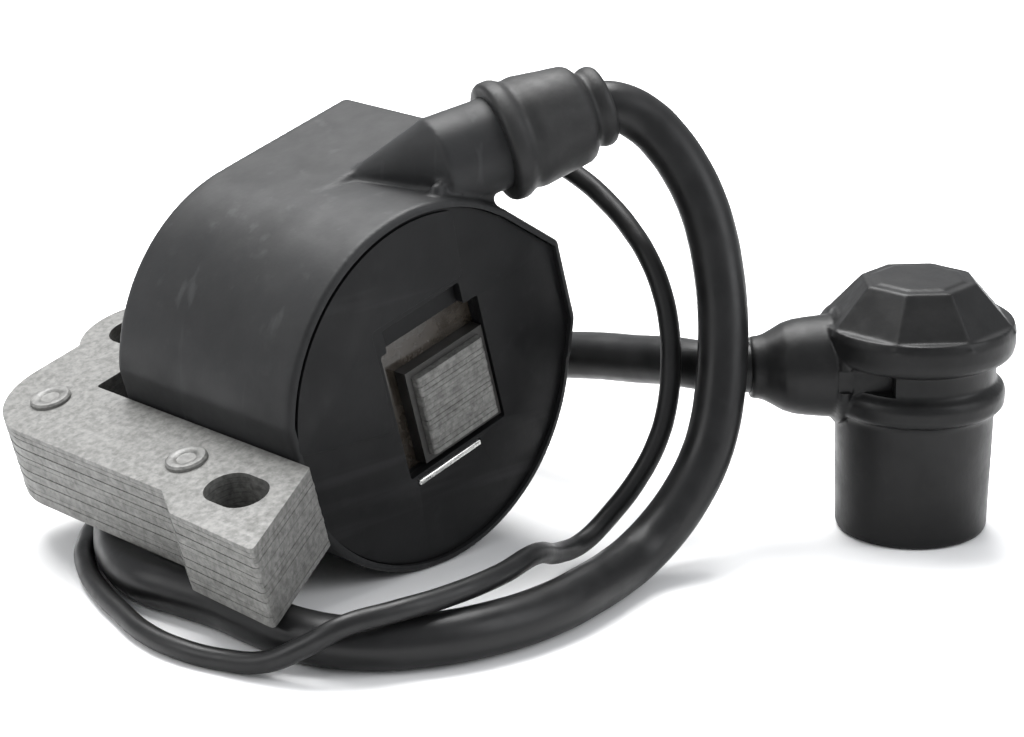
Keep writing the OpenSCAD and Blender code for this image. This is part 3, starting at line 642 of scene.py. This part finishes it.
def build_housing(looks):
    bm = bmesh.new()
    add_plate(bm, drum_outline(), [], -DRUM_L, 0)
    soften(bm, 0.5, 50)
    bmesh.ops.transform(bm, matrix=ALONG_X, verts=bm.verts)
    block = bmesh.new()
    add_plate(block, block_outline(), [], -DRUM_L, BLOCK_FRONT)
    soften(block, 0.45, 30)
    bmesh.ops.transform(block, matrix=ALONG_X, verts=block.verts)
    spare = bpy.data.meshes.new("spare")
    block.to_mesh(spare)
    block.free()
    bm.from_mesh(spare)
    bpy.data.meshes.remove(spare)
    to_coil = COIL.inverted() @ TOWER
    add_turned(bm, [(0, -9), (5.3, -9), (5.4, -8.8), (5.4, 6.2), (5.1, 6.5), (0, 6.5)],
               to_coil, 72)
    # fairing that rises out of the drum's top under the tower
    ring = []
    for t, r in ((-8.9, 5.3), (-7, 5.35)):
        ring += [to_coil @ Vector((x, y, t)) for x, y in circle_outline((0, 0), r, 32)]
    ring += [Vector((-15.2 + x, 3.2 + y, 23.2)) for x, y in circle_outline((0, 0), 0.7, 12)]
    ring += [Vector((-14.6 + x, 3.4 + y, 20.0)) for x, y in circle_outline((0, 0), 1.0, 12)]
    ring += [Vector((-12.4 + x, 13.6 + y, 17.5)) for x, y in circle_outline((0, 0), 1.0, 12)]
    add_hull(bm, ring)
    # web under the tower at the drum's rim
    web = [(1.5, 19), (12.6, 14), (12.6, 20.6), (8, 22.3), (1.5, 23.4)]
    add_plate(bm, rounded(web, 0.4), [], -6.4, -1.3, ALONG_X)
    # small moulded lumps and a thin rib beside the web
    for centre, size in (((-2.2, 5.6, 23.3), 0.8), ((-2.0, 8.6, 21.9), 0.75),
                         ((-1.9, 11.0, 20.9), 0.9)):
        made = bmesh.ops.create_uvsphere(bm, u_segments=20, v_segments=12, radius=size)["verts"]
        bmesh.ops.scale(bm, vec=(1.0, 1.4, 0.9), verts=made)
        bmesh.ops.translate(bm, vec=centre, verts=made)
    rib = [Vector(p) for p in ((-1.4, 10.9, 25.6), (-1.9, 10.7, 25.6), (-1.2, 12.7, 20.8),
                               (-1.9, 12.4, 20.8), (-2.6, 11.2, 25.2), (-2.6, 12.6, 20.8))]
    add_hull(bm, rib)
    obj = mesh_object("coil_housing", bm, COIL)
    fuse(obj, looks.housing_voxel, 4)

    # the cover's recess, the room for the windings, the core's way in, then two cord holes
    cut(obj, COIL, add_plate, drum_outline(0.9), [], -2.5, 3, ALONG_X)
    room_r = 19.6
    flat = math.degrees(math.acos((-21.65 + 2.9) / room_r))
    cut(obj, COIL, add_plate, arc(DRUM_C, room_r, -flat, flat, 90), [], -28.5, -2.4, ALONG_X)
    cut(obj, COIL, add_box, (-40, -5.5, -5.3), (-20, 5.5, 5.3))
    cut(obj, COIL, add_turned, [(0, -4), (2.95, -4), (2.95, 8), (0, 8)], to_coil, 48)
    cut(obj, COIL, add_turned, [(0, -3.1), (2.2, -3.1), (2.2, 4), (0, 4)],
        COIL.inverted() @ EXIT, 40)
    dress(obj, MATERIALS["housing"], "coil", ["housing"], 38)


def build_cover(looks):
    bm = bmesh.new()
    window = rounded([(-9, -6.3), (6.2, -6.3), (6.2, 9.8), (-9, 9.8)], 0.5)
    stepped = rounded([(-9, -6.3), (6.2, -6.3), (6.2, 9.8), (4, 9.8), (4, 12.6), (-8, 12.6),
                       (-8, 9.8), (-9, 9.8)], 0.35)
    strip = rounded([(-8.1, -7.73), (1.9, -7.73), (1.9, -6.87), (-8.1, -6.87)], 0.1)
    rim = drum_outline(1.0)
    add_plate(bm, rim, [window, strip], -2.5, -1.7)
    add_plate(bm, rim, [stepped, strip], -1.71, -0.5)
    pad = [(-22.6, 4.8), (-9.8, 0.6), (-9.8, 13.4), (4.4, 13.4), (5.0, 20.9)]
    pad += arc(DRUM_C, 20.3, 68, 172, 44)
    add_plate(bm, rounded(pad, 0.8), [], -0.6, looks.pad_height / MM - 0.5)
    soften(bm, 0.16, 50, 3)
    obj = mesh_object("coil_cover", bm, COIL @ ALONG_X)
    dress(obj, MATERIALS["cover"], "coil", ["front_cover"])


def build_sleeve(looks):
    bm = bmesh.new()
    outside = [(5.46, -1.6), (6.3, -1.6), (6.75, -1.45), (6.95, -1.1), (7.0, -0.6), (7.0, -0.1),
               (6.85, 0.35), (6.6, 0.75), (6.42, 1.15), (6.4, 1.6), (6.5, 2.1), (6.52, 2.7),
               (6.4, 3.5), (6.25, 4.6), (6.05, 6.0), (5.9, 7.4), (5.75, 8.4), (5.5, 8.9),
               (5.1, 9.25), (4.6, 9.6), (4.4, 9.9), (4.4, 10.2), (4.55, 10.5), (4.7, 10.9),
               (4.72, 11.5), (4.5, 11.95), (4.1, 12.1)]
    inside = [(3.3, 12.1), (3.15, 11.9), (3.15, 6.6), (5.46, 6.6)]
    add_turned(bm, outside + inside, steps=96)
    obj = mesh_object("tower_boot", bm, TOWER)
    dress(obj, MATERIALS["rubber"], "coil", ["tower_sleeve"], 50)


def build_grommet(looks):
    bm = bmesh.new()
    add_turned(bm, [(1.23, -3), (2.15, -3), (2.15, 0.35), (2.7, 0.4), (2.98, 0.7),
                    (2.95, 1.1), (2.5, 1.4), (2.1, 1.9), (1.9, 2.5), (1.65, 2.6), (1.23, 2.5)],
               steps=48)
    obj = mesh_object("wire_grommet_ring", bm, EXIT)
    dress(obj, MATERIALS["rubber"], "coil", ["wire_grommet"], 45)


def build_cap(looks):
    bm = bmesh.new()
    body = [(0, 0), (8.2, 0), (8.7, 0.2), (8.9, 0.7), (9.25, 14.6), (9.5, 15.2), (10.1, 15.4),
            (10.4, 15.9), (10.45, 17.2), (10.2, 17.9), (9.6, 18.4), (9.3, 18.7), (9.3, 21.3),
            (0, 21.5)]
    add_turned(bm, body, steps=96)
    head = [(0, 21.3), (9.6, 21.3), (10.7, 21.6), (11.2, 22.2), (11.4, 23), (11.4, 24.6),
            (11.1, 25.6), (0, 26)]
    add_turned(bm, head, steps=96)
    # eight-sided crown, then the flat button on it
    for wide, narrow, depth, middle in ((11.6, 6.7, 5.4, 27.6), (6.7, 5.2, 0.8, 30.1)):
        made = bmesh.ops.create_cone(bm, cap_ends=True, segments=8, radius1=wide,
                                     radius2=narrow, depth=depth)["verts"]
        bmesh.ops.rotate(bm, verts=made, cent=(0, 0, 0),
                         matrix=Matrix.Rotation(math.radians(22.5), 3, "Z"))
        bmesh.ops.translate(bm, verts=made, vec=(0, 0, middle))
    neck = [(0, 0), (6.1, 0), (6.1, 9.2), (5.9, 11.2), (5.72, 13), (5.5, 14.5), (5.1, 15.7),
            (4.4, 16.9), (3.85, 17.9), (3.65, 18.6), (3.62, 19.2), (3.4, 19.5), (0, 19.5)]
    add_turned(bm, neck, CAP.inverted() @ NECK, 72)
    collar = [(0, 9.9), (6.3, 9.9), (6.75, 10.2), (6.75, 10.9), (6.3, 11.3), (0, 11.3)]
    add_turned(bm, [(r, z - 1.4) for r, z in collar], CAP.inverted() @ NECK, 72)
    obj = mesh_object("plug_cap_skin", bm, CAP)
    fuse(obj, looks.cap_voxel, 3)
    flush = Matrix.Identity(4)
    # the socket, the lead's bore, then a pocket on each side of the neck
    cut(obj, CAP, add_turned, [(0, -2), (6.6, -2), (6.0, 0.9), (6.0, 12.6), (5.6, 13),
                               (4.3, 13), (4.3, 22.5), (0, 22.5)], flush, 72)
    cut(obj, NECK, add_turned, [(0, 0), (0.9, 0), (0.9, 6.4), (2.96, 6.4), (2.96, 19.2),
                                (3.2, 22), (0, 22)], flush, 48)
    for side in (-1, 1):
        low, high = sorted((side * 6.1, side * 12.1))
        cut(obj, CAP, add_box, (3.8, low, 18.7), (12, high, 21.3))
    dress(obj, MATERIALS["cap"], "plug_cap", ["plug_cap"], 40)

    steps, coil_r = 16, 3.2
    last = 3 * steps
    route = []
    for i in range(last + 1):
        a = 2 * math.pi * i / steps
        route.append((coil_r * math.cos(a), coil_r * math.sin(a), 14.25 + i / last * 4.3))
    spring = cord_curve("spare_spring", [tuple(CAP @ Vector(p) / MM) for p in route], 0.45)
    spring.data.resolution_u = 4
    spring.data.bevel_resolution = 4
    mesh = evaluated_mesh(spring)
    bpy.data.objects.remove(spring)
    spring = new_object("plug_cap_spring", mesh)
    dress(spring, MATERIALS["spring"], "plug_cap", ["plug_spring"], 60)

    bm = bmesh.new()
    add_turned(bm, [(0, 6.7), (0.25, 6.3), (0.6, 5.2), (0.6, -2.3), (0.9, -2.5), (0.9, -3.0),
                    (0.6, -3.3), (0, -3.3)], CAP.inverted() @ NECK, 32)
    add_turned(bm, [(0, 19.1), (0.5, 19.1), (0.5, 20), (0, 20)],
               Matrix.Translation((-2.6, 0, 0)), 24)
    spike = mesh_object("plug_cap_spike", bm, CAP)
    dress(spike, MATERIALS["brass"], "plug_cap", ["plug_spike"])


def build_terminal(looks):
    bm = bmesh.new()
    add_turned(bm, [(1.23, 0.0), (1.6, 0.0), (1.6, 1.2), (1.42, 1.5), (1.42, 2.6), (1.6, 2.9),
                    (1.6, 4.8), (1.45, 5.0), (0, 5.0), (0, 4.1), (1.23, 4.1)],
               EYELET.inverted() @ BARREL, 48)
    centre, hole_r, ring_r = (8.7, 0), 1.6, 3.1
    hole = circle_outline(centre, hole_r, 48)
    start = math.degrees(math.asin(hole_r / ring_r))
    ring = [(3.9, 1.6), (3.9, -1.6)] + arc(centre, ring_r, -180 + start, 180 - start, 60)
    add_plate(bm, ring, [hole], -1.6, -0.8)
    obj = mesh_object("wire_eyelet", bm, EYELET)
    dress(obj, MATERIALS["tin"], "coil", ["wire_terminal"])
    bm = bmesh.new()
    add_turned(bm, [(1.66, -3.6), (2.0, -3.6), (2.13, -3.4), (2.15, -3.1), (2.12, 0), (2.15, 3.0),
                    (2.05, 3.3), (1.9, 3.4), (1.66, 3.4)], steps=48)
    obj = mesh_object("eyelet_sleeve", bm, BARREL)
    dress(obj, MATERIALS["sleeving"], "terminal_sleeve", ["terminal_sleeve"])


def build_windings(looks):
    """The sealed pieces keep their CAD shape and get their real finishes."""
    finishes = {
        "primary_bobbin": "bobbin", "primary_winding": "copper", "insulation_wrap": "paper",
        "secondary_bobbin": "pale_bobbin", "secondary_winding": "fine_copper",
        "potting_resin": "resin", "ht_terminal": "brass", "ht_link_wire": "copper",
        "primary_link_wire": "copper", "earth_link_wire": "copper", "earth_tab": "brass"}
    for name, finish in finishes.items():
        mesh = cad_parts[name].data
        mesh.materials.clear()
        mesh.materials.append(MATERIALS[finish])


# ---------------------------------------------------------------- stage

CAMERA_AT = (0.24795, -0.20472, 0.1285)
CAMERA_RIGHT = Vector((0.6968, 0.7172, -0.0091))
CAMERA_BACK = Vector((0.6814, -0.658, 0.3205))
CAMERA_LENS = 102.5


def add_light(name, place, aim, size, power, colour=(1, 1, 1)):
    lamp = bpy.data.lights.new(name, "AREA")
    lamp.shape = "RECTANGLE"
    lamp.size, lamp.size_y = size
    lamp.energy = power
    lamp.color = colour
    obj = new_object(name, lamp)
    obj.location = place
    obj.rotation_euler = (Vector(aim) - Vector(place)).to_track_quat("-Z", "Y").to_euler()


def build_camera():
    camera = bpy.data.cameras.new("camera")
    camera.sensor_width = 36
    camera.lens = CAMERA_LENS
    camera.clip_start = 0.01
    back = CAMERA_BACK.normalized()
    up = back.cross(CAMERA_RIGHT).normalized()
    right = up.cross(back)
    turn = Matrix((right, up, back)).transposed().to_4x4()
    obj = new_object("camera", camera)
    obj.matrix_world = Matrix.Translation(CAMERA_AT) @ turn
    bpy.context.scene.camera = obj


def build_stage(looks):
    bm = bmesh.new()
    bmesh.ops.create_grid(bm, x_segments=1, y_segments=1, size=3.0)
    floor = mesh_object("floor", bm, Matrix.Identity(4))
    pale = Finish("pale_floor", (0.86, 0.86, 0.86), 0.75)
    pale.mottle((0.85, 0.85, 0.85), (0.87, 0.87, 0.87), 3).grain(400, 0.02, 0.1)
    floor.data.materials.append(pale.done())
    world = bpy.data.worlds.new("studio")
    world.use_nodes = True
    sky = world.node_tree.nodes["Background"]
    sky.inputs["Color"].default_value = (0.95, 0.97, 1.0, 1)
    sky.inputs["Strength"].default_value = looks.fill_strength
    bpy.context.scene.world = world
    add_light("key", (-0.22, 0.12, 0.6), (0.0, 0, 0.02), (0.5, 0.5), looks.key_power)
    add_light("front", (-0.2, -0.5, 0.35), (0.0, 0, 0.02), (0.4, 0.3), looks.key_power * 0.14)
    add_light("side", (0.55, 0.25, 0.35), (0.02, 0.01, 0.03), (0.35, 0.5),
              looks.key_power * 0.2, (0.97, 0.98, 1))
    view = bpy.context.scene.view_settings
    view.view_transform = "Standard"
    view.look = "None"


# ---------------------------------------------------------------- add-on

def length_property(name, text, value):
    return bpy.props.FloatProperty(name=name, description=text, default=value, unit="LENGTH",
                                   subtype="DISTANCE", precision=5)


class CoilLooks(bpy.types.PropertyGroup):
    lead_diameter: length_property("Lead diameter", "Diameter of the plug lead", 0.0058)
    wire_diameter: length_property("Wire diameter", "Diameter of the primary wire", 0.0024)
    housing_voxel: length_property("Housing grain", "Mesh size of the housing's skin", 0.00032)
    cap_voxel: length_property("Cap grain", "Mesh size of the cap's skin", 0.00022)
    pad_height: length_property("Pad height", "Height of the cover's raised pad", 0.0005)
    lamination_count: bpy.props.IntProperty(
        name="Laminations", description="Number of plates in the core", default=16, min=8)
    housing_tone: bpy.props.FloatProperty(
        name="Housing tone", description="Brightness of the housing's plastic", default=1.0)
    key_power: bpy.props.FloatProperty(
        name="Key light", description="Power of the main light", default=11.0, unit="POWER")
    fill_strength: bpy.props.FloatProperty(
        name="Fill light", description="Strength of the surroundings' light", default=0.62)


OPERATORS = []


def operator(idname, label, text, work):
    """Makes one operator class that builds a piece or a group of like pieces."""
    def execute(self, context):
        work(context.scene.coil_looks)
        return {"FINISHED"}
    kind = type("COIL_OT_" + idname, (bpy.types.Operator,), {
        "bl_idname": "coil." + idname, "bl_label": label, "bl_options": {"REGISTER", "UNDO"},
        "__doc__": text, "execute": execute})
    OPERATORS.append(kind)
    return kind


operator("materials", "Make finishes", "Makes every finish of the coil", make_materials)
operator("stage", "Build stage", "Builds the floor, lights and camera",
         lambda looks: (build_camera(), build_stage(looks)))
operator("cap", "Build plug cap", "Builds the rubber elbow cap, its spring and spike", build_cap)
operator("terminal", "Build eyelet", "Builds the wire's eyelet and its sleeve", build_terminal)
operator("cords", "Build leads", "Lays the plug lead and the primary wire", build_cords)
operator("stack", "Build core", "Builds the laminated core, its rivets and strip", build_stack)
operator("housing", "Build housing", "Builds the drum, block and tower", build_housing)
operator("cover", "Build cover", "Builds the front cover", build_cover)
operator("sleeve", "Build tower sleeve", "Builds the rubber sleeve on the tower", build_sleeve)
operator("grommet", "Build grommet", "Builds the grommet at the wire's exit", build_grommet)
operator("windings", "Finish windings", "Gives the sealed pieces their finishes", build_windings)


class COIL_PT_panel(bpy.types.Panel):
    """Sizes and steps of the ignition coil"""
    bl_idname = "COIL_PT_panel"
    bl_label = "Ignition coil"
    bl_space_type = "VIEW_3D"
    bl_region_type = "UI"
    bl_category = "Ignition coil"

    def draw(self, context):
        looks = context.scene.coil_looks
        for name in CoilLooks.__annotations__:
            self.layout.prop(looks, name)
        for kind in OPERATORS:
            self.layout.operator(kind.bl_idname)


def register():
    for kind in [CoilLooks] + OPERATORS + [COIL_PT_panel]:
        bpy.utils.register_class(kind)
    bpy.types.Scene.coil_looks = bpy.props.PointerProperty(type=CoilLooks)


def unregister():
    del bpy.types.Scene.coil_looks
    for kind in reversed([CoilLooks] + OPERATORS + [COIL_PT_panel]):
        bpy.utils.unregister_class(kind)


def main():
    register()
    for kind in OPERATORS:
        group, name = kind.bl_idname.split(".")
        getattr(getattr(bpy.ops, group), name)()
    bpy.context.view_layer.update()


if __name__ == "__main__":
    main()
